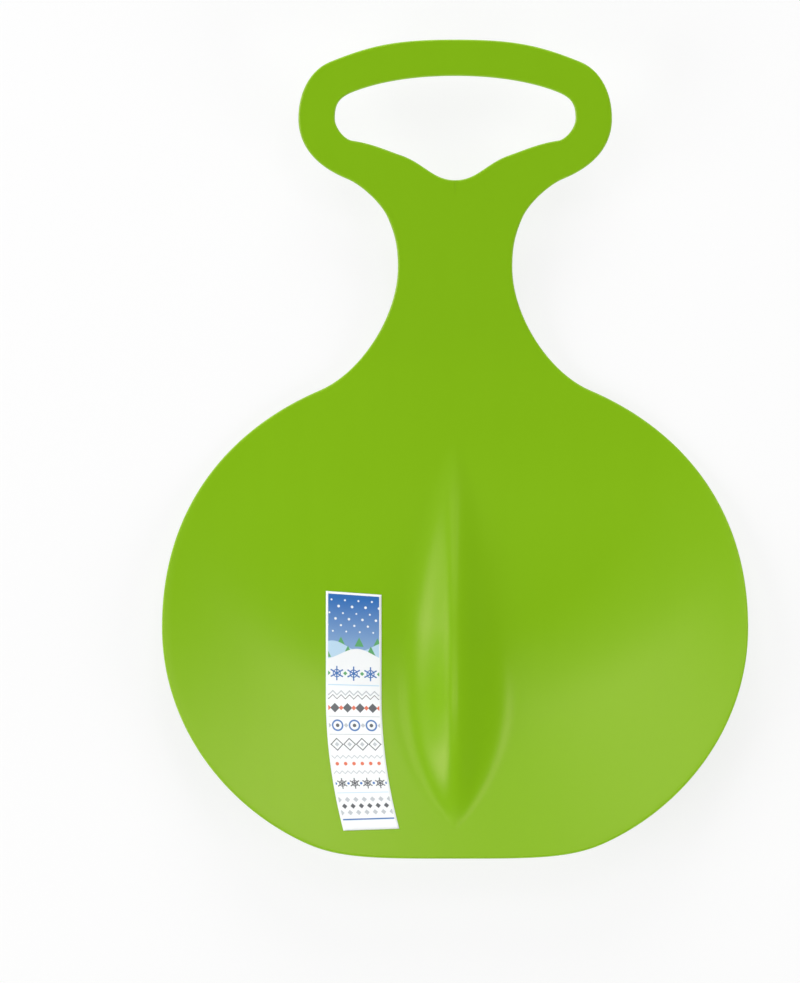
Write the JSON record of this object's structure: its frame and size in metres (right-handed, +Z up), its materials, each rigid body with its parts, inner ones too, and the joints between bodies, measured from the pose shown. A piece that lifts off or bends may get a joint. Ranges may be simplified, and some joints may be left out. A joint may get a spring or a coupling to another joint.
{
  "type": "bum slider",
  "caption": "Dished plastic snow slider seat with a pommel ridge between the legs, a waisted neck and a loop handle, and a narrow label strip.",
  "frame": {"origin": "on the ground under the middle of the outline, with the slider lying on its flat belly", "axes": "+Y from the tail towards the loop handle, +X to the rider's right when facing the handle, +Z up out of the seat"},
  "size_m": [0.33, 0.46, 0.0567],
  "materials": {
    "shell_plastic": "smooth moulded polyethylene, satin gloss",
    "label_film": "printed glossy label film"
  },
  "bodies": {
    "root": {"seat_shell": "shell_plastic", "label_sticker": "label_film"}
  },
  "joints": []
}
